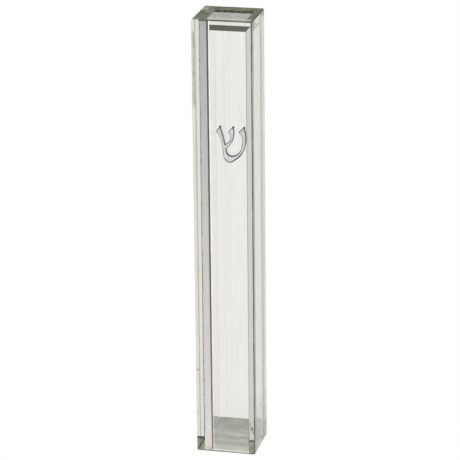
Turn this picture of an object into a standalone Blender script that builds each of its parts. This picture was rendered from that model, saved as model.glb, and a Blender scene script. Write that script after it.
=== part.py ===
"""Square glass mezuzah case: bonded float-glass strips, a glass top plate, a ribbed
silicone stopper that pulls out of the open bottom, and a cast metal letter on the front.

Metres, +Z up along the case, -Y out of the front. The origin is the centre of the flat
back face, which is the face that goes against the doorpost.
"""
import bpy
import bmesh
from mathutils import Matrix

# Outside of the case
CASE_WIDTH = 0.0180
CASE_DEPTH = 0.0166
CASE_HEIGHT = 0.1346

# Glass
GLASS = 0.0020              # thickness of every long strip
BOND_GAP = 0.0003           # glue line between two strips
ARRIS = 0.0002              # ground edge of a strip
TOP_PLATE_THICKNESS = 0.0034

# Silicone stopper
STOPPER_HEIGHT = 0.0070     # its foot is flush with the ends of the strips
STOPPER_CLEARANCE = 0.0003  # free space beside the ribs
RIB_COUNT = 3
RIB_HEIGHT = 0.0016
RIB_PROUD = 0.0002          # how far a rib stands out of the core
RIB_ROUNDING = 0.00015

# Metal letter, placed on the front face
LETTER_THICKNESS = 0.0006
LETTER_OFFSET_X = 0.0027
LETTER_CENTRE_ABOVE_FOOT = 0.0978
LETTER_CURVE_STEPS = 8
MILLIMETRE = 0.001

# Outline of the three-armed letter in millimetres about its centre, and whether each
# point is a sharp corner. It runs once round, from the left arm's head.
LETTER_OUTLINE = [
    (-4.5, 3.8, True), (-3.2, 5.3, True), (-2.3, 2.5, False),
    (-1.7, -0.1, True), (-0.5, 0.9, False), (-0.1, 2.3, False),
    (-0.8, 3.8, True), (0.7, 5.4, True), (1.0, 3.5, False), (0.4, 0.8, False),
    (-1.4, -1.4, True), (-1.1, -2.8, False), (-0.1, -3.5, False), (2.4, -2.4, False),
    (3.2, -0.4, False), (3.2, 2.6, False),
    (2.3, 3.8, True), (4.0, 5.5, True), (4.5, 3.2, False), (4.4, 0.2, False),
    (3.3, -2.8, False), (1.4, -4.7, False), (-0.6, -5.6, False), (-1.9, -4.6, False),
    (-2.5, -1.4, False), (-3.2, 1.9, False),
]

# Colours: linear red, green, blue
GLASS_GREEN = (0.72, 0.82, 0.74)
SILICONE_GREY = (0.56, 0.62, 0.55)
SILVER = (0.60, 0.61, 0.62)

# Inner faces of the walls, worked out from the sizes above
HALF_WIDTH = CASE_WIDTH / 2
TOP = CASE_HEIGHT / 2
FOOT = -CASE_HEIGHT / 2
FRONT = -CASE_DEPTH
PITCH = GLASS + BOND_GAP    # from one strip's face to the next strip's same face
BORE_LEFT = -HALF_WIDTH + PITCH + GLASS
BORE_RIGHT = HALF_WIDTH - GLASS
BORE_FRONT = FRONT + GLASS
BORE_BACK = -PITCH - GLASS


def clear_scene():
    for item in list(bpy.data.objects):
        bpy.data.objects.remove(item, do_unlink=True)


def new_collection(name):
    collection = bpy.data.collections.new(name)
    bpy.context.scene.collection.children.link(collection)
    return collection


def principled(name, colour, roughness, metallic=0.0, transmission=0.0, alpha=1.0):
    material = bpy.data.materials.new(name)
    material.use_nodes = True
    shader = material.node_tree.nodes["Principled BSDF"]
    shader.inputs["Base Color"].default_value = (*colour, 1.0)
    shader.inputs["Roughness"].default_value = roughness
    shader.inputs["Metallic"].default_value = metallic
    shader.inputs["Transmission Weight"].default_value = transmission
    shader.inputs["Alpha"].default_value = alpha
    return material


def block(name, low, high, material, collection, rounding=ARRIS):
    """A box between two corners, with its edges ground off."""
    bpy.ops.mesh.primitive_cube_add(size=1.0)
    piece = bpy.context.object
    piece.name = name
    piece.data.name = name
    centre = [(a + b) / 2 for a, b in zip(low, high)]
    size = [b - a for a, b in zip(low, high)]
    piece.data.transform(Matrix.Diagonal((*size, 1.0)))
    piece.location = centre
    bevel = piece.modifiers.new("ground_edges", "BEVEL")
    bevel.width = rounding
    bevel.segments = 1
    piece.data.materials.append(material)
    for owner in list(piece.users_collection):
        owner.objects.unlink(piece)
    collection.objects.link(piece)
    return piece


def outer_strips(glass, collection):
    """Four strips set pinwheel fashion: each one butts against the next one's face."""
    block("front_pane",
          (-HALF_WIDTH + PITCH, FRONT, FOOT), (HALF_WIDTH, FRONT + GLASS, TOP),
          glass, collection)
    block("right_pane",
          (HALF_WIDTH - GLASS, FRONT + PITCH, FOOT), (HALF_WIDTH, 0.0, TOP),
          glass, collection)
    block("back_pane",
          (-HALF_WIDTH, -GLASS, FOOT), (HALF_WIDTH - PITCH, 0.0, TOP),
          glass, collection)
    block("left_pane",
          (-HALF_WIDTH, FRONT, FOOT), (-HALF_WIDTH + GLASS, -PITCH, TOP),
          glass, collection)


def lining_strips(glass, collection):
    """A second strip inside the left wall and one inside the back wall narrow the bore."""
    block("left_lining",
          (-HALF_WIDTH + PITCH, FRONT + PITCH, FOOT), (BORE_LEFT, -PITCH, TOP),
          glass, collection)
    block("back_lining",
          (BORE_LEFT + BOND_GAP, BORE_BACK, FOOT), (HALF_WIDTH - PITCH, -PITCH, TOP),
          glass, collection)


def top_plate(glass, collection):
    """A thick plate set between the strips, flush with their top ends."""
    block("top_plate",
          (BORE_LEFT + BOND_GAP, BORE_FRONT + BOND_GAP, TOP - TOP_PLATE_THICKNESS),
          (BORE_RIGHT - BOND_GAP, BORE_BACK - BOND_GAP, TOP),
          glass, collection)


def stopper(silicone, collection, cutters):
    """A square plug with soft ribs round it, which grip the glass."""
    left = BORE_LEFT + STOPPER_CLEARANCE
    right = BORE_RIGHT - STOPPER_CLEARANCE
    front = BORE_FRONT + STOPPER_CLEARANCE
    back = BORE_BACK - STOPPER_CLEARANCE
    core = block("bottom_stopper",
                 (left + RIB_PROUD, front + RIB_PROUD, FOOT),
                 (right - RIB_PROUD, back - RIB_PROUD, FOOT + STOPPER_HEIGHT),
                 silicone, collection, RIB_ROUNDING)
    spacing = STOPPER_HEIGHT / RIB_COUNT
    for index in range(RIB_COUNT):
        middle = FOOT + spacing * (index + 0.5)
        rib = block(f"rib_{index + 1}",
                    (left, front, middle - RIB_HEIGHT / 2),
                    (right, back, middle + RIB_HEIGHT / 2),
                    silicone, cutters, RIB_ROUNDING)
        rib.hide_render = True
        rib.display_type = "WIRE"
        union = core.modifiers.new(f"add_rib_{index + 1}", "BOOLEAN")
        union.operation = "UNION"
        union.object = rib
    return core


def letter(silver, collection):
    """The flat metal letter: a filled outline, standing on the front face."""
    curve = bpy.data.curves.new("shin_emblem", "CURVE")
    curve.dimensions = "2D"
    curve.fill_mode = "BOTH"
    curve.extrude = LETTER_THICKNESS / 2
    curve.resolution_u = LETTER_CURVE_STEPS
    spline = curve.splines.new("BEZIER")
    spline.use_cyclic_u = True
    spline.bezier_points.add(len(LETTER_OUTLINE) - 1)
    for point, (across, up, corner) in zip(spline.bezier_points, LETTER_OUTLINE):
        point.co = (across * MILLIMETRE, up * MILLIMETRE, 0.0)
        handle = "VECTOR" if corner else "AUTO"
        point.handle_left_type = handle
        point.handle_right_type = handle
    curve.materials.append(silver)
    piece = bpy.data.objects.new("shin_emblem", curve)
    upright = Matrix(((1, 0, 0, 0), (0, 0, -1, 0), (0, 1, 0, 0), (0, 0, 0, 1)))
    place = Matrix.Translation((
        LETTER_OFFSET_X,
        FRONT - BOND_GAP - LETTER_THICKNESS / 2,
        FOOT + LETTER_CENTRE_ABOVE_FOOT,
    ))
    piece.matrix_world = place @ upright
    collection.objects.link(piece)
    return piece


def build_case():
    clear_scene()
    parts = new_collection("mezuzah_case")
    cutters = new_collection("stopper_ribs")
    glass = principled("float_glass", GLASS_GREEN, 0.02, transmission=0.9, alpha=0.35)
    silicone = principled("silicone", SILICONE_GREY, 0.45)
    silver = principled("silver_metal", SILVER, 0.35, metallic=0.9)
    outer_strips(glass, parts)
    lining_strips(glass, parts)
    top_plate(glass, parts)
    stopper(silicone, parts, cutters)
    letter(silver, parts)


build_case()
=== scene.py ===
"""Looks of the glass mezuzah case: clear bonded strips with ground ends, a milky ribbed
stopper and a satin metal letter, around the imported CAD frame."""
import math

import bmesh
import bpy
from mathutils import Matrix, Vector
from mathutils.geometry import tessellate_polygon


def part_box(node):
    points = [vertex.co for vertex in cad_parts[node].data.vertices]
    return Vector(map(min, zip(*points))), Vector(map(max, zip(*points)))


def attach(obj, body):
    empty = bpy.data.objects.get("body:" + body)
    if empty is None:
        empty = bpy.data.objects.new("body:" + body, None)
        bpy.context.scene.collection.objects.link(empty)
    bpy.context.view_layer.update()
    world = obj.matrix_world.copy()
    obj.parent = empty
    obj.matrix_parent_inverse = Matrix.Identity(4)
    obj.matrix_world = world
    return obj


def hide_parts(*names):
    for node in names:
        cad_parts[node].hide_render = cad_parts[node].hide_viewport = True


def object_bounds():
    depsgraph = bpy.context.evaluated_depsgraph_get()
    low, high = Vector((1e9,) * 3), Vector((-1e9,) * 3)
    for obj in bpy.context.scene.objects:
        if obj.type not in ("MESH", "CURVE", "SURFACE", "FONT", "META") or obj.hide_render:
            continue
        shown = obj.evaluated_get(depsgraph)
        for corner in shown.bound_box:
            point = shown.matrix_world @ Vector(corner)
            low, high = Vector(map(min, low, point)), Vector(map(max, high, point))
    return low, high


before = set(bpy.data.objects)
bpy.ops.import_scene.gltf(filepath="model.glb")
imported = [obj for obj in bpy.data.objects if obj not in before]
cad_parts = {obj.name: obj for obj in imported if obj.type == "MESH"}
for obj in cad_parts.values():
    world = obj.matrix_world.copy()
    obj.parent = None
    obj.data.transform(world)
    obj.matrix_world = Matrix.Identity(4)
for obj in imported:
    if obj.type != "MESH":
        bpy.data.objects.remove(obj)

CAD_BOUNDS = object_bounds()

# All sizes are in metres.
ARRIS = 0.00030             # ground corner of the case
BOND_REACH = 0.0005         # strips closer than this are bonded
BOND_OVERLAP = 0.0005       # strips facing each other over less than this aren't bonded
BOND_HAIR = 0.000005        # what is left of half a bond line
PROBE = 0.00010             # step out of a face to see if it is bonded
HULL_REACH = 0.00002        # a corner this close to the case's outside is ground
SAME_POINT = 1e-7           # points closer than this are one point
SAME_DECIMALS = 7           # the same, as decimals
SQUARE = 0.99               # a normal with this much of an axis is square to it

GLASS_NODES = ("front_pane", "right_pane", "back_pane", "left_pane",
               "left_lining", "back_lining", "top_plate")
UNBONDED = {frozenset(("top_plate", "left_lining"))}    # a film of air is left here
LONG_EDGE_FACES = {"front_pane": Vector((1, 0, 0)), "right_pane": Vector((0, 1, 0)),
                   "back_pane": Vector((-1, 0, 0))}     # which way a strip's long edge looks

WHITE = (1.0, 1.0, 1.0, 1.0)
BLACK = (0.0, 0.0, 0.0)


def grey(value):
    return (value, value, value)


# ---------------------------------------------------------------- node helpers
class Nodes:
    """A small helper for writing node trees."""

    def __init__(self, tree):
        self.tree = tree
        tree.nodes.clear()

    def add(self, kind, **settings):
        node = self.tree.nodes.new(kind)
        for key, value in settings.items():
            setattr(node, key, value)
        return node

    def link(self, source, target):
        self.tree.links.new(source, target)

    def put(self, socket, value):
        """Link an output to a socket, or give the socket a plain value."""
        if hasattr(value, "is_output"):
            self.link(value, socket)
        else:
            socket.default_value = value

    def filled(self, kind, sockets):
        """A new node with its sockets linked or set by name, for its first output."""
        node = self.add(kind)
        for name, value in sockets.items():
            self.put(node.inputs[name], value)
        return node.outputs[0]

    def principled(self, sockets):
        return self.filled("ShaderNodeBsdfPrincipled", sockets)

    def place(self):
        """Where the shaded point is on its own piece."""
        return self.add("ShaderNodeTexCoord").outputs["Object"]

    def split(self, vector):
        """The outputs X, Y and Z of a vector."""
        node = self.add("ShaderNodeSeparateXYZ")
        self.link(vector, node.inputs[0])
        return node.outputs

    def attribute(self, name):
        return self.add("ShaderNodeAttribute", attribute_name=name).outputs["Fac"]

    def math(self, operation, a, b=0.0, c=0.0, clamp=False):
        node = self.add("ShaderNodeMath", operation=operation, use_clamp=clamp)
        for socket, value in zip(node.inputs, (a, b, c)):
            self.put(socket, value)
        return node.outputs[0]

    def times(self, first, *others):
        for other in others:
            first = self.math("MULTIPLY", first, other)
        return first

    def rest(self, value):
        """What a value leaves of 1."""
        return self.math("SUBTRACT", 1.0, value)

    def between(self, value, low, high):
        """How far a value has come from low to high, from 0 to 1."""
        return self.math("DIVIDE", self.math("SUBTRACT", value, low), high - low, clamp=True)

    def fade(self, factor, start, end):
        """A number that goes from start to end as the factor goes from 0 to 1."""
        return self.math("MULTIPLY_ADD", factor, end - start, start)

    def blend(self, a, b, share):
        """A share of a, and the rest of b."""
        return self.math("MULTIPLY_ADD", a, share, self.times(b, 1.0 - share))

    def ramp(self, factor, stops):
        """Colours that a factor runs through, each at its own place."""
        stops = list(stops)
        node = self.add("ShaderNodeValToRGB")
        elements = node.color_ramp.elements
        while len(elements) < len(stops):
            elements.new(0.5)
        for element, (place, colour) in zip(elements, stops):
            element.position = place
            element.color = (*colour, 1.0)
        self.put(node.inputs[0], factor)
        return node.outputs[0]

    def pattern(self, vector, kind):
        """Noise of a kind written as stretch, scale, detail and roughness."""
        stretch, scale, detail, roughness = kind
        if stretch:
            vector = self.filled("ShaderNodeMapping", {"Vector": vector, "Scale": stretch})
        return self.filled("ShaderNodeTexNoise", {"Vector": vector, "Scale": scale,
                                                  "Detail": detail, "Roughness": roughness})

    def bump(self, height, strength, distance):
        return self.filled("ShaderNodeBump", {"Strength": strength, "Distance": distance,
                                              "Height": height})

    def mix_shader(self, factor, a, b):
        node = self.add("ShaderNodeMixShader")
        for socket, value in zip(node.inputs, (factor, a, b)):
            self.put(socket, value)
        return node.outputs[0]

    def mix(self, factor, a, b, blend="MIX"):
        node = self.add("ShaderNodeMix", data_type="RGBA", blend_type=blend)
        sockets = {socket.identifier: socket for socket in node.inputs}
        self.put(sockets["Factor_Float"], factor)
        for name, colour in (("A_Color", a), ("B_Color", b)):
            self.put(sockets[name], colour if hasattr(colour, "is_output") else (*colour, 1.0))
        return next(s for s in node.outputs if s.identifier == "Result_Color")


def new_material(name):
    material = bpy.data.materials.new(name)
    material.use_nodes = True
    nodes = Nodes(material.node_tree)
    return material, nodes, nodes.add("ShaderNodeOutputMaterial")


# ---------------------------------------------------------------- the strips' boxes
def grown_boxes():
    """Each strip's box, grown across half of every bond line that it faces."""
    boxes = {name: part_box(name) for name in GLASS_NODES}
    grown = {name: (low.copy(), high.copy()) for name, (low, high) in boxes.items()}
    for name, (low, high) in boxes.items():
        for other, (other_low, other_high) in boxes.items():
            if other == name:
                continue
            for axis in range(3):
                across = [a for a in range(3) if a != axis]
                shared = [min(high[a], other_high[a]) - max(low[a], other_low[a]) for a in across]
                if min(shared) < BOND_OVERLAP:
                    continue
                gap_above = other_low[axis] - high[axis]
                gap_below = low[axis] - other_high[axis]
                if 0 < gap_above < BOND_REACH:
                    grown[name][1][axis] = high[axis] + gap_above / 2 - BOND_HAIR
                if 0 < gap_below < BOND_REACH:
                    grown[name][0][axis] = low[axis] - gap_below / 2 + BOND_HAIR
    return grown


glass_boxes = grown_boxes()
HULL_LOW = Vector([min(low[a] for low, high in glass_boxes.values()) for a in range(3)])
HULL_HIGH = Vector([max(high[a] for low, high in glass_boxes.values()) for a in range(3)])


def box_mesh(low, high):
    mesh = bmesh.new()
    bmesh.ops.create_cube(mesh, size=1.0)
    for vertex in mesh.verts:
        share = [vertex.co[a] + 0.5 for a in range(3)]
        vertex.co = Vector([low[a] + share[a] * (high[a] - low[a]) for a in range(3)])
    return mesh


def finished_piece(mesh, name, material, body, node):
    """A mesh made into a piece that rides on a body and may stand for a CAD node."""
    data = bpy.data.meshes.new(name)
    mesh.to_mesh(data)
    mesh.free()
    data.materials.append(material)
    piece = bpy.data.objects.new(name, data)
    bpy.context.scene.collection.objects.link(piece)
    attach(piece, body)
    if node:
        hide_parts(node)


# ---------------------------------------------------------------- clear glass
GLASS_IOR = 1.52
GLASS_COLOUR = (0.967, 0.953, 0.948)
# painted shade: the side strips' glass is darker than the rest, the right one most
SIDE_STRIP_SHADES = {"left_pane": (0.90, 0.89, 0.84), "right_pane": (0.74, 0.74, 0.70)}
GLASS_TINT = (0.57, 0.61, 0.48)
GLASS_DENSITY = 29.0
GLASS_HAZE = ((1.0, 1.0, 0.05), 900.0, 3.0, 0.5)
HAZE_TONE = 0.965           # how bright the glass stays inside its faint haze
HAZE_STOPS = (0.30, 0.62)

STREAK_X = -0.00785         # a darker green streak drawn along the left strip
STREAK_FADE = (0.00020, 0.00042)    # how far from its middle it starts to fade, and is gone
STREAK_WAVER = (None, 45.0, 1.0, 0.5)
STREAK_SWAY = 0.0002
STREAK_COLOUR = (0.40, 0.40, 0.27)

CHIP_LOW = 0.0400           # a chipped stretch of the left front corner
CHIP_HIGH = 0.0640
CHIP_ENDS = (0.0020, 0.0010)        # how far its lower and upper ends fade
CHIP_X = -0.00830           # a broken dark streak that runs beside the chips
CHIP_FADE = (0.00014, 0.00034)
CHIP_BREAKS = ((1.0, 1.0, 0.3), 700.0, 3.0, 0.5)
CHIP_TONES = [(0.36, grey(0.55)), (0.58, grey(1.0))]
CHIP_COLOUR = (0.10, 0.10, 0.075)

PLATE_WAVER = ((0.3, 1.0, 1.0), 500.0, 2.0, 0.5)
PLATE_SWAY = 0.16           # how far the plate's streaks waver, as a share of its depth
# painted shade: bands across the plate, darkest along its middle
PLATE_SHADE_BANDS = [(0.0, grey(1.0)), (0.22, grey(1.0)), (0.42, grey(0.86)), (0.62, grey(0.88)),
               (0.80, grey(1.0))]


def beside_line(nodes, x, line_x, fade, sway=0.0):
    """How much a point belongs to a line that is drawn up a strip, from 0 to 1."""
    off = nodes.math("ABSOLUTE", nodes.math("SUBTRACT", x, line_x))
    return nodes.rest(nodes.between(nodes.math("ADD", off, sway), *fade))


def chipped_stretch(nodes, z):
    """Between the two ends of the chipped stretch."""
    low_end, high_end = CHIP_ENDS
    return nodes.times(nodes.between(z, CHIP_LOW, CHIP_LOW + low_end),
                       nodes.rest(nodes.between(z, CHIP_HIGH - high_end, CHIP_HIGH)))


def left_pane_streaks(nodes, place, clean):
    """The left strip's darker streak, and the broken one beside its chips."""
    at = nodes.split(place)
    sway = nodes.times(nodes.pattern(place, STREAK_WAVER), STREAK_SWAY)
    streaked = nodes.mix(beside_line(nodes, at["X"], STREAK_X, STREAK_FADE, sway),
                         clean, STREAK_COLOUR)
    broken = nodes.ramp(nodes.pattern(place, CHIP_BREAKS), CHIP_TONES)
    chipped = nodes.times(beside_line(nodes, at["X"], CHIP_X, CHIP_FADE), broken,
                          chipped_stretch(nodes, at["Z"]))
    return nodes.mix(chipped, streaked, CHIP_COLOUR)


def plate_shade_bands(nodes, place, clean):
    """Soft level streaks of painted shade across the plate, darkest along its middle."""
    low, high = glass_boxes["top_plate"]
    depth = nodes.between(nodes.split(place)["Y"], low.y, high.y)
    moved = nodes.math("MULTIPLY_ADD", nodes.pattern(place, PLATE_WAVER), PLATE_SWAY,
                       nodes.math("SUBTRACT", depth, PLATE_SWAY / 2))
    return nodes.mix(1.0, clean, nodes.ramp(moved, PLATE_SHADE_BANDS), "MULTIPLY")


def clear_shader(nodes, name):
    """Polished float glass with a faint haze drawn along it, and the streaks of its strip."""
    place = nodes.place()
    clean = SIDE_STRIP_SHADES.get(name, GLASS_COLOUR)
    hazy = tuple(HAZE_TONE * c for c in clean)
    colour = nodes.ramp(nodes.pattern(place, GLASS_HAZE), zip(HAZE_STOPS, (hazy, clean)))
    if name == "left_pane":
        colour = left_pane_streaks(nodes, place, colour)
    if name == "top_plate":
        colour = plate_shade_bands(nodes, place, colour)
    return nodes.principled({"Base Color": colour, "Roughness": 0.0, "IOR": GLASS_IOR,
                             "Transmission Weight": 1.0})


def glass_volume(nodes):
    """The green depth of the glass."""
    return nodes.filled("ShaderNodeVolumeAbsorption", {"Color": (*GLASS_TINT, 1.0),
                                                       "Density": GLASS_DENSITY})


def bond_shader(nodes):
    """What lets light straight through, as the adhesive does from strip to strip."""
    return nodes.filled("ShaderNodeBsdfTransparent", {"Color": WHITE})


# ---------------------------------------------------------------- ground glass
END_SHARE = 0.86            # how much of a strip's end is ground
CLEARER_FEET = {"back_pane": 0.15, "back_lining": 0.15}     # how much of theirs at the foot
END_CLOUD = (None, 420.0, 4.0, 0.6)
END_GRAIN = ((2.5, 0.4, 1.0), 1500.0, 3.0, 0.7)
GRAIN_SHARE = 0.35
END_TONES = [(0.32, (0.095, 0.118, 0.075)), (0.44, (0.20, 0.235, 0.165)),
             (0.56, (0.30, 0.345, 0.25)), (0.74, (0.60, 0.66, 0.50))]
# painted light: the feet are paler, as if lit from the floor below
FOOT_LIT_TONES = [(0.32, (0.22, 0.24, 0.16)), (0.48, (0.62, 0.64, 0.50)), (0.66, (1.0, 1.0, 0.88))]
END_MOTTLE = ((0.7, 1.3, 1.0), 620.0, 3.0, 0.75)
MOTTLE_TONES = [(0.38, (0.50, 0.60, 0.58)), (0.50, (0.98, 1.0, 0.98)),
                (0.62, (1.62, 1.55, 1.50))]
MOTTLE_SHARE = 0.85
END_BUMP = (0.25, 0.00003)  # strength and distance

FOOT_PAINTED_GLOW = 0.29            # painted glow: light from the floor that comes up through the ground feet
PALE_PAINTED_GLOW = 1.5             # how much of that painted glow reaches the pale part of the front strip's top
PALE_FROM = -0.0044         # right of this the front strip's top end looks pale
PALE_EDGE = 0.0006
# painted light: the front strip's pale top, paler further in
PALE_OUTER = (0.50, 0.51, 0.45)
PALE_INNER = (0.86, 0.87, 0.79)
INWARD = (0.0006, 0.0022)   # how far behind the front the pale part starts and has all its light
RIM_DEPTH = (0.0022, 0.0032)        # the foot's dark rim: full to here, and gone from here
RIM_COLOUR = (0.30, 0.33, 0.26)
PALE_CORNER = -0.0049       # behind this the left strip's top end is painted pale, as a highlight
CORNER_EDGE = 0.0003
CORNER_HIGHLIGHT_COLOUR = (0.68, 0.75, 0.58)

LONG_EDGE_SHARES = {"front_pane": 0.78, "right_pane": 0.10, "back_pane": 0.45}
EDGE_MARKS = ((1.0, 1.0, 0.04), 2400.0, 4.0, 0.65)
EDGE_PATCHES = ((1.0, 1.0, 0.3), 260.0, 3.0, 0.6)
EDGE_TONES = [(0.34, (0.10, 0.105, 0.07)), (0.50, (0.25, 0.255, 0.18)),
              (0.66, (0.46, 0.47, 0.37))]
EDGE_BUMP = (0.2, 0.00002)

ARRIS_SHARES = {"left_pane": 0.15, "right_pane": 0.40, "back_pane": 0.6}
ARRIS_SHARE = 0.95          # how much of the other strips' corners looks ground
CHIPPED_SHARE = 0.35        # how much of the left corner looks ground along its chips
ARRIS_WEAR = ((1.0, 1.0, 0.18), 900.0, 4.0, 0.65)
ARRIS_TONES = [(0.32, (0.03, 0.033, 0.022)), (0.50, (0.10, 0.11, 0.08)),
               (0.74, (0.34, 0.35, 0.30))]
ARRIS_FOOT = (0.0012, 0.0004)       # it darkens from this height down to this one
ARRIS_FOOT_SHARE = 0.75
ARRIS_FOOT_COLOUR = (0.01, 0.012, 0.008)


def front_strip_ends(nodes, colour, at, at_top, painted_glow):
    """The front strip's top end is painted pale and given a painted glow, as if lit from inside,
    right of a sharp border, and its foot has a dark rim in front."""
    along = nodes.between(at["X"], PALE_FROM - PALE_EDGE, PALE_FROM)
    inward = nodes.between(at["Y"], *(HULL_LOW.y + depth for depth in INWARD))
    pale_top = nodes.times(along, at_top)
    colour = nodes.mix(pale_top, colour, nodes.mix(inward, PALE_OUTER, PALE_INNER))
    painted_glow = nodes.math("MULTIPLY_ADD", nodes.times(pale_top, inward), PALE_PAINTED_GLOW, painted_glow)
    full, gone = RIM_DEPTH
    rim = nodes.between(at["Y"], HULL_LOW.y + gone, HULL_LOW.y + full)
    return nodes.mix(nodes.times(rim, nodes.rest(at_top)), colour, RIM_COLOUR), painted_glow


def end_shader(nodes, name):
    """A sawn and ground strip end, which shows the green depth of the glass below it. Painted
    light makes it paler at the foot, along the front strip's top and at the back of the left
    strip's top, and a painted glow lights the foot."""
    place = nodes.place()
    at = nodes.split(place)
    grain = nodes.pattern(place, END_GRAIN)
    tone = nodes.blend(grain, nodes.pattern(place, END_CLOUD), GRAIN_SHARE)
    colour = nodes.mix(nodes.between(at["Z"], HULL_HIGH.z, HULL_LOW.z),
                       nodes.ramp(tone, END_TONES), nodes.ramp(tone, FOOT_LIT_TONES))
    mottle = nodes.ramp(nodes.pattern(place, END_MOTTLE), MOTTLE_TONES)
    colour = nodes.mix(MOTTLE_SHARE, colour, mottle, "MULTIPLY")
    at_top = nodes.math("GREATER_THAN", at["Z"], 0.0)
    painted_glow = nodes.rest(at_top)
    if name == "front_pane":
        colour, painted_glow = front_strip_ends(nodes, colour, at, at_top, painted_glow)
    if name == "left_pane":
        behind = nodes.between(at["Y"], PALE_CORNER - CORNER_EDGE, PALE_CORNER + CORNER_EDGE)
        colour = nodes.mix(nodes.times(behind, at_top), colour, CORNER_HIGHLIGHT_COLOUR)
    return nodes.principled({
        "Base Color": colour, "Emission Color": nodes.mix(painted_glow, BLACK, colour),
        "Emission Strength": FOOT_PAINTED_GLOW, "Roughness": 0.32, "Coat Weight": 0.35,
        "Coat Roughness": 0.08, "Normal": nodes.bump(grain, *END_BUMP)})


def long_edge_shader(nodes):
    """A strip's ground long edge: fine lengthwise grinding marks in olive grey."""
    place = nodes.place()
    marks = nodes.pattern(place, EDGE_MARKS)
    tone = nodes.blend(marks, nodes.pattern(place, EDGE_PATCHES), 0.5)
    return nodes.principled({"Base Color": nodes.ramp(tone, EDGE_TONES), "Roughness": 0.42,
                             "Normal": nodes.bump(marks, *EDGE_BUMP)})


def arris_shader(nodes):
    """A ground corner: fine frosted grey-green, broken up along its length."""
    place = nodes.place()
    colour = nodes.ramp(nodes.pattern(place, ARRIS_WEAR), ARRIS_TONES)
    at_foot = nodes.between(nodes.split(place)["Z"], *(HULL_LOW.z + rise for rise in ARRIS_FOOT))
    colour = nodes.mix(nodes.times(at_foot, ARRIS_FOOT_SHARE), colour, ARRIS_FOOT_COLOUR)
    return nodes.principled({"Base Color": colour, "Roughness": 0.4, "Specular IOR Level": 0.25})


# ---------------------------------------------------------------- the lining's faces
MIRROR_SHARE = 0.78         # how strongly the lining's chamber side mirrors
MIRROR_COLOUR = (0.96, 0.97, 0.94, 1.0)

SATIN_PAINTED_GLOW = 0.42           # painted glow: light piped along the glass to its ground edge
SATIN_TONES = [(0.0, (0.89, 0.86, 0.865)), (0.22, (0.81, 0.77, 0.775)),
               (0.55, (0.70, 0.67, 0.665)), (0.85, (0.575, 0.58, 0.60)),
               (1.0, (0.52, 0.535, 0.57))]
SATIN_STREAK = ((1.0, 1.0, 0.03), 2600.0, 3.0, 0.6)
STREAK_TONES = [(0.3, grey(0.62)), (0.7, grey(1.0))]
STREAK_SHARE = 0.30
SATIN_SMEAR = ((1.0, 1.0, 0.5), 1150.0, 4.0, 0.7)
SMEAR_TONES = [(0.55, grey(0.0)), (0.66, grey(0.6))]
SMEAR_HEIGHTS = [(0.0, grey(1.0)), (0.35, grey(0.8)), (0.6, grey(0.1))]
SMEAR_COLOUR = (0.80, 0.52, 0.57)
SATIN_SPECK = ((1.0, 1.0, 0.45), 1900.0, 2.0, 0.7)
SPECK_TONES = [(0.50, grey(0.0)), (0.62, grey(0.6))]
SPECK_BORDER = (0.00005, 0.00034)   # the specks thin out between these distances
SPECK_COLOUR = (0.07, 0.075, 0.06)
SHADED_BORDER = (0.00026, 0.00016)    # painted shade: the right border darkens between these distances
SHADED_HEAD = (0.0009, 0.0006)        # and so does the very top, in painted shade
BORDER_HEIGHTS = [(0.0, grey(0.30)), (0.05, grey(0.45)), (0.12, grey(0.95)), (0.5, grey(1.0))]
BORDER_SHADE_COLOUR = (0.025, 0.028, 0.022)
SATIN_BUMP = (0.2, 0.00002)


def mirror_shader(nodes):
    """The lining's chamber side throws back most of what meets it at a low angle."""
    return nodes.filled("ShaderNodeBsdfAnisotropic", {"Color": MIRROR_COLOUR, "Roughness": 0.0})


def satin_shader(nodes, low, high):
    """A ground long edge, satin and silvery at the top, paler and pinker towards the foot, with a
    speckled left border, painted shade along its right border where the adhesive ends and along
    its very top, and a painted glow."""
    place = nodes.place()
    at = nodes.split(place)
    height = nodes.between(at["Z"], low.z, high.z)
    streak = nodes.pattern(place, SATIN_STREAK)
    colour = nodes.mix(STREAK_SHARE, nodes.ramp(height, SATIN_TONES),
                       nodes.ramp(streak, STREAK_TONES), "MULTIPLY")
    smears = nodes.times(nodes.ramp(height, SMEAR_HEIGHTS),
                         nodes.ramp(nodes.pattern(place, SATIN_SMEAR), SMEAR_TONES))
    colour = nodes.mix(smears, colour, SMEAR_COLOUR)
    at_left = nodes.rest(nodes.between(at["X"], *(low.x + reach for reach in SPECK_BORDER)))
    specks = nodes.times(at_left, nodes.ramp(nodes.pattern(place, SATIN_SPECK), SPECK_TONES))
    colour = nodes.mix(specks, colour, SPECK_COLOUR)
    at_right = nodes.between(at["X"], *(high.x - reach for reach in SHADED_BORDER))
    at_head = nodes.between(at["Z"], *(high.z - drop for drop in SHADED_HEAD))
    border = nodes.math("MAXIMUM", nodes.times(at_right, nodes.ramp(height, BORDER_HEIGHTS)),
                        at_head)
    colour = nodes.mix(border, colour, BORDER_SHADE_COLOUR)
    return nodes.principled({
        "Base Color": colour, "Emission Color": colour, "Emission Strength": SATIN_PAINTED_GLOW,
        "Roughness": 0.5, "Specular IOR Level": 0.25,
        "Normal": nodes.bump(streak, *SATIN_BUMP)})


# ---------------------------------------------------------------- handling marks
SMUDGES_FROM = -0.0640      # the right strip is smudged from here down
SMUDGE_FADE = 0.014
SMUDGE_MARKS = ((1.0, 1.0, 0.45), 560.0, 4.0, 0.7)
SMUDGE_SHARES = [(0.40, grey(0.12)), (0.60, grey(0.62))]
SMUDGE_GRAIN = (None, 1400.0, 3.0, 0.6)
SMUDGE_TONES = [(0.35, (0.22, 0.25, 0.19)), (0.65, (0.50, 0.54, 0.45))]


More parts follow.
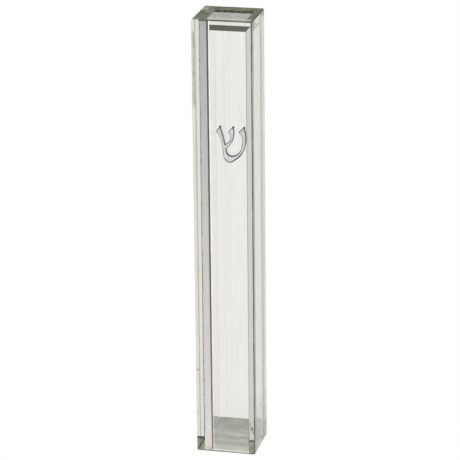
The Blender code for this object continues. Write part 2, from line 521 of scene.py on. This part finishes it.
def handling_film(nodes, clean):
    """A thin grey-green film of handling marks low on the right strip's outside."""
    place = nodes.place()
    low_down = nodes.rest(nodes.between(nodes.split(place)["Z"], SMUDGES_FROM,
                                        SMUDGES_FROM + SMUDGE_FADE))
    marks = nodes.ramp(nodes.pattern(place, SMUDGE_MARKS), SMUDGE_SHARES)
    amount = nodes.times(low_down, marks, nodes.attribute("outer_side"))
    tone = nodes.ramp(nodes.pattern(place, SMUDGE_GRAIN), SMUDGE_TONES)
    film = nodes.principled({"Base Color": tone, "Roughness": 0.55})
    return nodes.mix_shader(amount, clean, film)


# ---------------------------------------------------------------- glass strips
MASKS = ("bonded", "ground_end", "arris", "long_edge", "outer_side", "satin", "mirror")


def glass_material(name, low, high):
    """Clear where a face meets air, and what the bond line shows where it meets a neighbour.
    The masks say which faces of the strip are ground, satin or mirroring."""
    material, nodes, output = new_material(f"{name}_float_glass")

    def laid_over(shader, mask, other, *shares):
        return nodes.mix_shader(nodes.times(nodes.attribute(mask), *shares), shader, other)

    corner_share = ARRIS_SHARES.get(name, ARRIS_SHARE)
    if name == "left_pane":
        chipped = chipped_stretch(nodes, nodes.split(nodes.place())["Z"])
        corner_share = nodes.fade(chipped, corner_share, CHIPPED_SHARE)
    shader = laid_over(clear_shader(nodes, name), "bonded", bond_shader(nodes))
    shader = laid_over(shader, "ground_end", end_shader(nodes, name), END_SHARE)
    shader = laid_over(shader, "arris", arris_shader(nodes), corner_share)
    if name == "right_pane":
        shader = handling_film(nodes, shader)
    if name in LONG_EDGE_SHARES:
        shader = laid_over(shader, "long_edge", long_edge_shader(nodes), LONG_EDGE_SHARES[name])
    if name == "left_lining":
        shader = laid_over(shader, "satin", satin_shader(nodes, low, high))
        shader = laid_over(shader, "mirror", mirror_shader(nodes), MIRROR_SHARE)
    nodes.link(shader, output.inputs["Surface"])
    nodes.link(glass_volume(nodes), output.inputs["Volume"])
    return material


def inside(point, box):
    low, high = box
    return all(low[a] < point[a] < high[a] for a in range(3))


def on_hull(point, axis):
    """Whether a point lies on the outside of the whole case, across one axis."""
    return (abs(point[axis] - HULL_LOW[axis]) < HULL_REACH
            or abs(point[axis] - HULL_HIGH[axis]) < HULL_REACH)


def hull_edges(mesh):
    """The edges that lie on two outer faces of the case at once."""
    chosen = []
    for edge in mesh.edges:
        middle = (edge.verts[0].co + edge.verts[1].co) / 2
        if sum(on_hull(middle, axis) for axis in range(3)) >= 2:
            chosen.append(edge)
    return chosen


def settle_order(mesh):
    """Put a mesh's parts in order of place, because bevelling leaves them in a different order
    each run."""
    for parts, place in ((mesh.verts, lambda vertex: vertex.co),
                         (mesh.edges, lambda edge: edge.verts[0].co + edge.verts[1].co),
                         (mesh.faces, lambda face: face.calc_center_median())):
        ranked = sorted(parts, key=lambda part: tuple(round(c, SAME_DECIMALS)
                                                      for c in place(part)))
        rank = {part: index for index, part in enumerate(ranked)}
        parts.sort(key=rank.get)


def cut_at_neighbours(mesh, name):
    """Split the faces where a neighbour's faces end, so that each is bonded or clear all over."""
    low, high = glass_boxes[name]
    for other, corners in glass_boxes.items():
        if other == name:
            continue
        for axis in range(3):
            for corner in corners:
                if not low[axis] + ARRIS < corner[axis] < high[axis] - ARRIS:
                    continue
                origin, normal = Vector((0, 0, 0)), Vector((0, 0, 0))
                origin[axis] = corner[axis]
                normal[axis] = 1.0
                everything = mesh.verts[:] + mesh.edges[:] + mesh.faces[:]
                bmesh.ops.bisect_plane(mesh, geom=everything, dist=SAME_POINT,
                                       plane_co=origin, plane_no=normal)


def face_masks(name, face, neighbours):
    """What one face of a strip is, as the numbers that the strip's material reads."""
    normal = face.normal
    probe = face.calc_center_median() + normal * PROBE
    bonded = any(inside(probe, box) for box in neighbours)
    free = not bonded
    flat = max(abs(n) for n in normal) > SQUARE
    end_share = CLEARER_FEET.get(name, 1.0) if normal.z < 0 else 1.0
    ground_end = free and abs(normal.z) > SQUARE and name != "top_plate"
    long_edge = name in LONG_EDGE_FACES and normal.dot(LONG_EDGE_FACES[name]) > SQUARE
    lining = name == "left_lining"
    return {
        "bonded": bonded,
        "ground_end": ground_end * end_share,
        "arris": free and not flat,
        "long_edge": free and long_edge,
        "outer_side": name == "right_pane" and normal.x > SQUARE,
        "satin": lining and bonded and normal.y < -SQUARE,
        "mirror": lining and free and normal.x > SQUARE,
    }


def glass_strip(name):
    low, high = glass_boxes[name]
    mesh = box_mesh(low, high)
    bmesh.ops.bevel(mesh, geom=hull_edges(mesh), offset=ARRIS, segments=1, affect="EDGES")
    settle_order(mesh)
    cut_at_neighbours(mesh, name)
    settle_order(mesh)
    mesh.normal_update()
    neighbours = [box for other, box in glass_boxes.items()
                  if other != name and frozenset((name, other)) not in UNBONDED]
    layers = {mask: mesh.faces.layers.float.new(mask) for mask in MASKS}
    for face in mesh.faces:
        for mask, amount in face_masks(name, face, neighbours).items():
            face[layers[mask]] = float(amount)
    material = glass_material(name, low, high)
    finished_piece(mesh, f"{name}_glass", material, "case", name)


for glass_node in GLASS_NODES:
    glass_strip(glass_node)


# ---------------------------------------------------------------- adhesive
SHADED_BEAD = 0.00030         # width of the first half of the squeezed-out adhesive, painted in shade
LIT_BEAD = 0.00036       # width of the half painted with a highlight, as if it catches the light
BEAD_DEPTH = 0.00012
BEAD_ROUNDING = 0.3         # rounding of their free edges, as a share of the width
PLATE_BEAD = 0.00018        # width and height of the line of adhesive under the plate
PLATE_BEAD_ROUNDING = 0.7
# painted shade and a painted highlight for the two halves of the front bead
PAINTED_SHADE_TONE = (0.05, 0.052, 0.045)
PAINTED_HIGHLIGHT_TONE = (0.97, 0.97, 0.94)
# painted shade for the dark bead under the plate
PLATE_BEAD_SHADE_TONE = (0.06, 0.065, 0.05)
PAINTED_HIGHLIGHT_GLOW = 0.55          # painted glow: light that the highlighted half takes from the glass
ADHESIVE_LUMPS = ((1.0, 1.0, 0.12), 900.0, 3.0, 0.6)
LUMP_SHARE = 0.15           # how much thicker or thinner the lumps make it
LUMP_TONE = 0.8             # how bright its thin places are
LUMP_STOPS = (0.3, 0.65)
THIN_FOOT = (0.010, 0.075)  # how high above the foot it starts to thicken, and is full

# Bubbles: place to the right of the middle, height above the foot, radius
BUBBLES = [(0.0078, 0.0078, 0.00062), (0.0074, 0.0092, 0.00038), (0.0083, 0.0066, 0.00034),
           (0.0081, 0.0100, 0.00026), (0.0074, 0.0064, 0.00016), (0.0082, 0.0122, 0.00015),
           (0.0078, 0.0048, 0.00020), (0.0083, 0.0560, 0.00014), (-0.0085, 0.0260, 0.00030),
           (-0.0079, 0.0580, 0.00024), (-0.0083, 0.0905, 0.00015), (-0.0087, 0.0120, 0.00018)]
BUBBLE_SHAPE = (0.8, 0.8, 1.25, 1.0)
BUBBLE_FILM = (None, 2500.0, 2.0, 0.5)
FILM_TONES = [(0.3, grey(0.82)), (0.7, grey(1.0))]


def adhesive_material(name, colour, share, glow, foot_share):
    """Cured adhesive, lumpy along the joint and thinner towards the foot."""
    material, nodes, output = new_material(name)
    place = nodes.place()
    lumps = nodes.pattern(place, ADHESIVE_LUMPS)
    tone = nodes.ramp(lumps, zip(LUMP_STOPS, (tuple(LUMP_TONE * c for c in colour), colour)))
    cured = nodes.principled({"Base Color": tone, "Emission Color": tone,
                              "Emission Strength": glow, "Roughness": 0.25})
    thick = nodes.fade(lumps, share - LUMP_SHARE, share + LUMP_SHARE)
    rise = nodes.between(nodes.split(place)["Z"], *(HULL_LOW.z + height for height in THIN_FOOT))
    cover = nodes.times(thick, nodes.fade(rise, foot_share, 1.0))
    nodes.link(nodes.mix_shader(cover, bond_shader(nodes), cured), output.inputs["Surface"])
    return material


def rounded_bead(name, low, high, is_free, rounding, segments, material):
    """A bar of adhesive whose free edges are rounded."""
    mesh = box_mesh(low, high)
    free = [edge for edge in mesh.edges if is_free(edge)]
    bmesh.ops.bevel(mesh, geom=free, offset=rounding, segments=segments, affect="EDGES")
    finished_piece(mesh, name, material, "case", None)


def front_bead(name, from_x, width, material):
    """Adhesive squeezed out along the joint between the lining and the front pane."""
    corner_y = glass_boxes["front_pane"][1].y
    low = Vector((from_x, corner_y + BOND_HAIR, HULL_LOW.z + ARRIS))
    high = Vector((from_x + width, corner_y + BEAD_DEPTH, HULL_HIGH.z - ARRIS))

    def is_free(edge):
        first, second = (vertex.co for vertex in edge.verts)
        return min(first.y, second.y) > high.y - BOND_HAIR and abs(first.z - second.z) > width

    rounded_bead(name, low, high, is_free, width * BEAD_ROUNDING, 3, material)


def plate_bead(name, material):
    """Adhesive left along the corner between the plate's underside and the right strip."""
    right_x = glass_boxes["right_pane"][0].x
    under_z = glass_boxes["top_plate"][0].z
    low = Vector((right_x - PLATE_BEAD, glass_boxes["front_pane"][1].y + BEAD_DEPTH,
                  under_z - PLATE_BEAD))
    high = Vector((right_x - BOND_HAIR, glass_boxes["back_lining"][0].y - BOND_HAIR,
                   under_z - BOND_HAIR))

    def is_free(edge):
        return all(vertex.co.x < low.x + BOND_HAIR and vertex.co.z < low.z + BOND_HAIR
                   for vertex in edge.verts)

    rounded_bead(name, low, high, is_free, PLATE_BEAD * PLATE_BEAD_ROUNDING, 4, material)


def bubble_material():
    """Air caught in the adhesive: the light bends the other way at its surface."""
    material, nodes, output = new_material("trapped_air")
    film = nodes.ramp(nodes.pattern(nodes.place(), BUBBLE_FILM), FILM_TONES)
    nodes.link(nodes.principled({"Base Color": film, "Roughness": 0.0, "IOR": 1.0 / GLASS_IOR,
                                 "Transmission Weight": 1.0}), output.inputs["Surface"])
    return material


def trapped_bubbles():
    """Small bubbles in the front bond lines, low on the right and up the left side."""
    bond_y = glass_boxes["front_pane"][1].y
    front_y = glass_boxes["front_pane"][0].y
    mesh = bmesh.new()
    for x, above_foot, radius in BUBBLES:
        y = bond_y if x > 0 else (front_y + bond_y) / 2
        centre = Vector((x, y, HULL_LOW.z + above_foot))
        shape = Matrix.Translation(centre) @ Matrix.Diagonal(BUBBLE_SHAPE)
        bmesh.ops.create_icosphere(mesh, subdivisions=2, radius=radius, matrix=shape)
    for face in mesh.faces:
        face.smooth = True
    finished_piece(mesh, "trapped_bubbles", bubble_material(), "case", None)


lining_side = glass_boxes["left_lining"][1].x + BOND_HAIR
# one front bead of adhesive in two halves: one in painted shade, one with a painted highlight
front_bead("painted_shade_adhesive", lining_side, SHADED_BEAD,
           adhesive_material("painted_shade_adhesive", PAINTED_SHADE_TONE, 0.85, 0.0, 0.7))
front_bead("painted_highlight_adhesive", lining_side + SHADED_BEAD + BOND_HAIR, LIT_BEAD,
           adhesive_material("painted_highlight_adhesive", PAINTED_HIGHLIGHT_TONE, 0.8, PAINTED_HIGHLIGHT_GLOW, 0.3))
# the adhesive bead under the plate is painted dark with shade
plate_bead("shaded_plate_adhesive", adhesive_material("shaded_plate_adhesive", PLATE_BEAD_SHADE_TONE, 0.85, 0.0, 1.0))
trapped_bubbles()


# ---------------------------------------------------------------- stopper
SILICONE_PAINTED_GLOW = 0.38        # painted glow: light that the glass feeds into the milky plug
# painted light and shade: brighter at the foot and on the ribs, darker between them
SILICONE_LIT_AND_SHADED_TONES = [(0.0, (0.70, 0.72, 0.65)), (0.22, (0.62, 0.65, 0.575)),
                  (0.34, (0.44, 0.48, 0.415)), (0.52, (0.53, 0.58, 0.51)),
                  (0.66, (0.37, 0.415, 0.355)), (0.80, (0.56, 0.605, 0.54)),
                  (0.93, (0.46, 0.50, 0.445)), (1.0, (0.52, 0.56, 0.50))]
SILICONE_STREAK = ((0.12, 0.12, 1.0), 1300.0, 4.0, 0.6)
LEVEL_TONES = [(0.32, grey(0.62)), (0.68, grey(1.25))]
LEVEL_SHARE = 0.6
SILICONE_CLOUD = (None, 300.0, 3.0, 0.5)
CLOUD_SHARES = [(0.45, grey(0.0)), (0.75, grey(0.4))]
CLOUD_COLOUR = (0.55, 0.62, 0.53)
SILICONE_BUMP = (0.3, 0.00006)

RIBS = 3
RIB_DEPTH = 0.00012
RINGS = 42
CORNER_PARTS = 4            # sides to each rounded corner
STOPPER_ROUNDING = 0.00035
STOPPER_LIP = 0.00018       # rounding of its top
FOOT_LIP = 0.00006
MOST_INSET = 0.9            # as a share of the corner's rounding


def silicone():
    """Milky silicone with soft level streaks, painted brighter towards the open foot and on the
    ribs, with painted shade between the ribs.
    """
    low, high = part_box("bottom_stopper")
    material, nodes, output = new_material("milky_silicone")
    place = nodes.place()
    height = nodes.between(nodes.split(place)["Z"], low.z, high.z)
    streak = nodes.pattern(place, SILICONE_STREAK)
    streaked = nodes.mix(LEVEL_SHARE, nodes.ramp(height, SILICONE_LIT_AND_SHADED_TONES),
                         nodes.ramp(streak, LEVEL_TONES), "MULTIPLY")
    cloud = nodes.ramp(nodes.pattern(place, SILICONE_CLOUD), CLOUD_SHARES)
    colour = nodes.mix(cloud, streaked, CLOUD_COLOUR)
    nodes.link(nodes.principled({
        "Base Color": colour, "Emission Color": colour, "Emission Strength": SILICONE_PAINTED_GLOW,
        "Roughness": 0.38, "Specular IOR Level": 0.35, "Subsurface Weight": 0.35,
        "Subsurface Radius": (1.0, 1.1, 0.9), "Subsurface Scale": 0.0012,
        "Normal": nodes.bump(streak, *SILICONE_BUMP)}), output.inputs["Surface"])
    return material


def rounded_square(middle, half, inset):
    """The points of a level square with rounded corners, drawn in by an inset."""
    points = []
    for corner, (sign_x, sign_y) in enumerate(((1, 1), (-1, 1), (-1, -1), (1, -1))):
        for part in range(CORNER_PARTS + 1):
            angle = math.radians(90 * corner + 90 * part / CORNER_PARTS)
            centre_x = middle.x + sign_x * (half.x - STOPPER_ROUNDING)
            centre_y = middle.y + sign_y * (half.y - STOPPER_ROUNDING)
            reach = STOPPER_ROUNDING - min(inset, STOPPER_ROUNDING * MOST_INSET)
            points.append((centre_x + reach * math.cos(angle), centre_y + reach * math.sin(angle)))
    return points


def stopper_piece():
    """The plug: level rings of a rounded square that swell softly at each rib."""
    low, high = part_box("bottom_stopper")
    low.x = glass_boxes["left_lining"][1].x + BOND_HAIR * 2
    middle = (low + high) / 2
    half = (high - low) / 2
    mesh = bmesh.new()
    rings = []
    for step in range(RINGS + 1):
        share = step / RINGS
        swell = 0.5 - 0.5 * math.cos(share * RIBS * 2 * math.pi)
        inset = RIB_DEPTH * (1 - swell)
        lip = STOPPER_LIP if share > 0.5 else FOOT_LIP
        end = min(share, 1 - share) * (high.z - low.z)
        if end < lip:
            lack = 1 - end / lip
            inset += lip * (1 - math.sqrt(max(0.0, 1 - lack * lack)))
        z = low.z + share * (high.z - low.z)
        rings.append([mesh.verts.new((x, y, z)) for x, y in rounded_square(middle, half, inset)])
    count = len(rings[0])
    for below, above in zip(rings, rings[1:]):
        for index in range(count):
            after = (index + 1) % count
            mesh.faces.new((below[index], below[after], above[after], above[index]))
    mesh.faces.new(list(reversed(rings[0])))
    mesh.faces.new(rings[-1])
    for face in mesh.faces:
        face.smooth = len(face.verts) == 4      # the sides, and not the level ends
    finished_piece(mesh, "ribbed_stopper", silicone(), "stopper", "bottom_stopper")


stopper_piece()


# ---------------------------------------------------------------- letter
LETTER_RIM = 0.00022
LETTER_SLOPE = 0.00020      # how far the rim falls back from the face
UNDERSIDE_WIDER = 0.00012   # how much wider the rim is under the bowl
UNDERSIDE_LEAST = 0.45      # the rim there looks down at least this much
BOWL_HEIGHT = 0.0030
TIP_RADIUS = 0.00042        # the dark spot on each arm's tip
CROWN_RADIUS = 0.00034      # the bead on it
ARMS = 3

METAL_GRAIN = ((1.0, 1.0, 0.35), 3200.0, 4.0, 0.7)
GRAIN_TONES = [(0.3, grey(0.72)), (0.7, grey(1.15))]
BRUSHED_SHARE = 0.4
METAL_CLOUD = (None, 620.0, 3.0, 0.6)
METAL_TONES = [(0.35, (0.60, 0.615, 0.615)), (0.55, (0.73, 0.745, 0.735)),
               (0.72, (0.92, 0.925, 0.89))]
METAL_ROUGHNESS = [(0.3, grey(0.34)), (0.7, grey(0.5))]
METAL_SHINE = (0.55, 0.05)  # how metallic the face is, and the rim
METAL_GLOSS = (0.5, 0.05)   # how glossy the face is, and the bowl's underside
METAL_BUMP = (0.15, 0.00002)
UNDERSIDE = (0.0042, 0.0026)        # painted shade: the rim darkens from this height down to this one
RIM_SHARE = 0.95
# painted shade on the letter's rim, darkest under the bowl
RIM_SHADE_TONE = (0.10, 0.10, 0.088)
UNDERSIDE_SHADE_TONE = (0.012, 0.012, 0.01)
TIP_FADE = (0.6, 1.3)       # where the tips' dark spots start to fade and are gone, in radii
TIP_TONE = (0.03, 0.03, 0.025)


def satin_metal(foot_z, tips):
    """Cast silver-coloured metal: fine brushed grain, a rim in painted shade that is darkest under
    the bowl, and dark spots on the arm tips.
    """
    material, nodes, output = new_material("satin_silver")
    place = nodes.place()
    rim = nodes.attribute("rim")
    grain = nodes.pattern(place, METAL_GRAIN)
    colour = nodes.mix(BRUSHED_SHARE, nodes.ramp(nodes.pattern(place, METAL_CLOUD), METAL_TONES),
                       nodes.ramp(grain, GRAIN_TONES), "MULTIPLY")
    underside = nodes.between(nodes.split(place)["Z"], *(foot_z + height for height in UNDERSIDE))
    colour = nodes.mix(nodes.times(rim, RIM_SHARE), colour,
                       nodes.mix(underside, RIM_SHADE_TONE, UNDERSIDE_SHADE_TONE))
    dark_spots = 0.0
    for tip in tips:
        distance = nodes.add("ShaderNodeVectorMath", operation="DISTANCE")
        nodes.link(place, distance.inputs[0])
        distance.inputs[1].default_value = tip
        near = nodes.rest(nodes.between(distance.outputs["Value"],
                                        *(TIP_RADIUS * share for share in TIP_FADE)))
        dark_spots = nodes.math("MAXIMUM", dark_spots, near)
    nodes.link(nodes.principled({
        "Base Color": nodes.mix(dark_spots, colour, TIP_TONE),
        "Metallic": nodes.fade(rim, *METAL_SHINE),
        "Specular IOR Level": nodes.fade(nodes.times(rim, underside), *METAL_GLOSS),
        "Roughness": nodes.ramp(grain, METAL_ROUGHNESS),
        "Normal": nodes.bump(grain, *METAL_BUMP)}), output.inputs["Surface"])
    return material


def copied_solid(node):
    """A CAD node's own mesh, vertex by vertex, with doubled points joined."""
    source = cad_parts[node]
    mesh = bmesh.new()
    corners = [mesh.verts.new(source.matrix_world @ vertex.co) for vertex in source.data.vertices]
    for polygon in source.data.polygons:
        mesh.faces.new([corners[index] for index in polygon.vertices])
    bmesh.ops.remove_doubles(mesh, verts=mesh.verts[:], dist=SAME_POINT)
    mesh.normal_update()
    return mesh


def refill(mesh, faces):
    """Fill the region of some flat faces again, now that its outline has moved inward."""
    flat = set(faces)
    border = [edge for face in faces for edge in face.edges
              if sum(other in flat for other in edge.link_faces) == 1]
    joined = {}
    for edge in border:
        for vertex in edge.verts:
            joined.setdefault(vertex, []).append(edge)
    edge = border[0]
    loop = [edge.verts[0]]
    while True:
        vertex = edge.other_vert(loop[-1])
        if vertex == loop[0]:
            break
        loop.append(vertex)
        edge = next(other for other in joined[vertex] if other != edge)
    bmesh.ops.delete(mesh, geom=faces, context="FACES")
    for triangle in tessellate_polygon([[vertex.co for vertex in loop]]):
        face = mesh.faces.new([loop[index] for index in triangle])
        face.normal_update()
        if face.normal.y > 0:
            face.normal_flip()


def widen_underside(ring, outline, inner_line, below_z):
    """Move the rim's inner line further in where it runs along the bowl's underside."""
    inward = {}
    for face in ring:
        for edge in face.edges:
            for outer, inner in (edge.verts, reversed(edge.verts)):
                if outer in outline and inner in inner_line:
                    inward[inner] = (inner.co - outer.co).normalized()
    for inner, direction in inward.items():
        if direction.z > UNDERSIDE_LEAST and inner.co.z < below_z:
            inner.co += direction * UNDERSIDE_WIDER


def arm_tips(outline, low, high):
    """The highest point in each third of the letter's width."""
    upper = sorted((vertex.co.copy() for vertex in outline), key=lambda co: (co.z, co.x))
    third = (high.x - low.x) / ARMS
    return [[co for co in upper
             if low.x + index * third <= co.x <= low.x + (index + 1) * third][-1]
            for index in range(ARMS)]


def letter_piece():
    """The letter's CAD solid with its front edge sloped back to a narrow rim that its material
    paints in shade, and a small bead on each arm's tip."""
    low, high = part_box("shin_emblem")
    mesh = copied_solid("shin_emblem")
    rim = mesh.faces.layers.float.new("rim")
    front = [face for face in mesh.faces if face.normal.y < -SQUARE]
    ring = bmesh.ops.inset_region(mesh, faces=front, thickness=LETTER_RIM, depth=0.0,
                                  use_boundary=True, use_even_offset=True)["faces"]
    inner_line = {vertex for face in front for vertex in face.verts}
    outline = {vertex for face in ring for vertex in face.verts} - inner_line
    widen_underside(ring, outline, inner_line, low.z + BOWL_HEIGHT)
    refill(mesh, front)
    for vertex in outline:
        vertex.co.y += LETTER_SLOPE
    mesh.normal_update()
    for face in mesh.faces:
        face[rim] = float(face in ring or abs(face.normal.y) < 0.5)
    tips = arm_tips(outline, low, high)
    for tip in tips:
        centre = Vector((tip.x, low.y + CROWN_RADIUS, min(tip.z, high.z - CROWN_RADIUS)))
        bead = bmesh.ops.create_icosphere(mesh, subdivisions=2, radius=CROWN_RADIUS,
                                          matrix=Matrix.Translation(centre))
        for vertex in bead["verts"]:
            for face in vertex.link_faces:
                face.smooth = True
                face[rim] = 1.0
    finished_piece(mesh, "letter_plate", satin_metal(low.z, tips), "case",
                   "shin_emblem")


letter_piece()


# ---------------------------------------------------------------- floor, light, camera
FLOOR_DROP = 0.25           # how far the floor is below the case
FLOOR_SIZE = 8.0
WALL_TONES = [(0.0, (0.16, 0.17, 0.13)), (0.05, (0.10, 0.105, 0.078)),
              (0.45, (0.085, 0.09, 0.066)), (0.7, grey(0.75)), (1.0, grey(0.9))]
ROOM_TONES = [(0.0, grey(0.8)), (0.5, grey(0.85)), (1.0, grey(0.9))]
WALL_SIDES = (-0.05, 0.35)  # how far back a direction points where the wall begins, and is full

# Camera: degrees, millimetres for the lens, and case widths from the middle of the case's foot
CAMERA_AZIMUTH = 13.5
CAMERA_ELEVATION = 18.6
CAMERA_ROLL = -0.612
CAMERA_DISTANCE = 46.3
CAMERA_LENS = 219.1
SENSOR_WIDTH = 36.0
CLIP_START = 0.01
TARGET_RIGHT = -0.0003
TARGET_UP = 3.797

GLASS_BOUNCES = 72          # enough to cross every strip and come back
BOND_BOUNCES = 160          # a path also passes bond lines


def floor():
    """A level bright floor."""
    bpy.ops.mesh.primitive_plane_add(size=FLOOR_SIZE)
    plane = bpy.context.object
    plane.name = "studio_floor"
    plane.location = (0, 0, CAD_BOUNDS[0][2] - FLOOR_DROP)
    material, nodes, output = new_material("pale_floor")
    glow = nodes.filled("ShaderNodeEmission", {"Color": WHITE, "Strength": 1.0})
    nodes.link(glow, output.inputs["Surface"])
    plane.data.materials.append(material)


def studio_light():
    """Bright in front and overhead, with a dim wall low down behind the case."""
    world = bpy.data.worlds.new("soft_studio")
    bpy.context.scene.world = world
    world.use_nodes = True
    nodes = Nodes(world.node_tree)
    output = nodes.add("ShaderNodeOutputWorld")
    towards = nodes.split(nodes.add("ShaderNodeTexCoord").outputs["Generated"])
    colour = nodes.mix(nodes.between(towards["Y"], *WALL_SIDES),
                       nodes.ramp(towards["Z"], ROOM_TONES), nodes.ramp(towards["Z"], WALL_TONES))
    background = nodes.filled("ShaderNodeBackground", {"Color": colour})
    nodes.link(background, output.inputs["Surface"])


def camera():
    """The camera, turned about its own axis by a small roll."""
    width = CAD_BOUNDS[1][0] - CAD_BOUNDS[0][0]
    foot = CAD_BOUNDS[0][2]
    front = glass_boxes["front_pane"][0].y
    back = glass_boxes["back_pane"][1].y
    azimuth, elevation, roll = map(math.radians, (CAMERA_AZIMUTH, CAMERA_ELEVATION, CAMERA_ROLL))
    target = Vector((TARGET_RIGHT * width, (front + back) / 2, foot + TARGET_UP * width))
    backward = Vector((math.sin(azimuth) * math.cos(elevation),
                       -math.cos(azimuth) * math.cos(elevation),
                       math.sin(elevation)))
    right = (-backward).cross(Vector((0, 0, 1))).normalized()
    up = right.cross(-backward)
    turned_right = right * math.cos(roll) + up * math.sin(roll)
    turned_up = up * math.cos(roll) - right * math.sin(roll)
    data = bpy.data.cameras.new("studio_camera")
    data.sensor_width = SENSOR_WIDTH
    data.lens = CAMERA_LENS
    data.clip_start = CLIP_START
    view = bpy.data.objects.new("studio_camera", data)
    rotation = Matrix((turned_right, turned_up, backward)).transposed()
    place = target + backward * CAMERA_DISTANCE * width
    view.matrix_world = Matrix.Translation(place) @ rotation.to_4x4()
    bpy.context.scene.collection.objects.link(view)
    bpy.context.scene.camera = view


def light_paths():
    """Long light paths through the glass, and colours shown as they are."""
    cycles = bpy.context.scene.cycles
    cycles.max_bounces = GLASS_BOUNCES
    cycles.transmission_bounces = GLASS_BOUNCES
    cycles.glossy_bounces = GLASS_BOUNCES
    cycles.transparent_max_bounces = BOND_BOUNCES
    bpy.context.scene.view_settings.view_transform = "Standard"


floor()
studio_light()
camera()
light_paths()
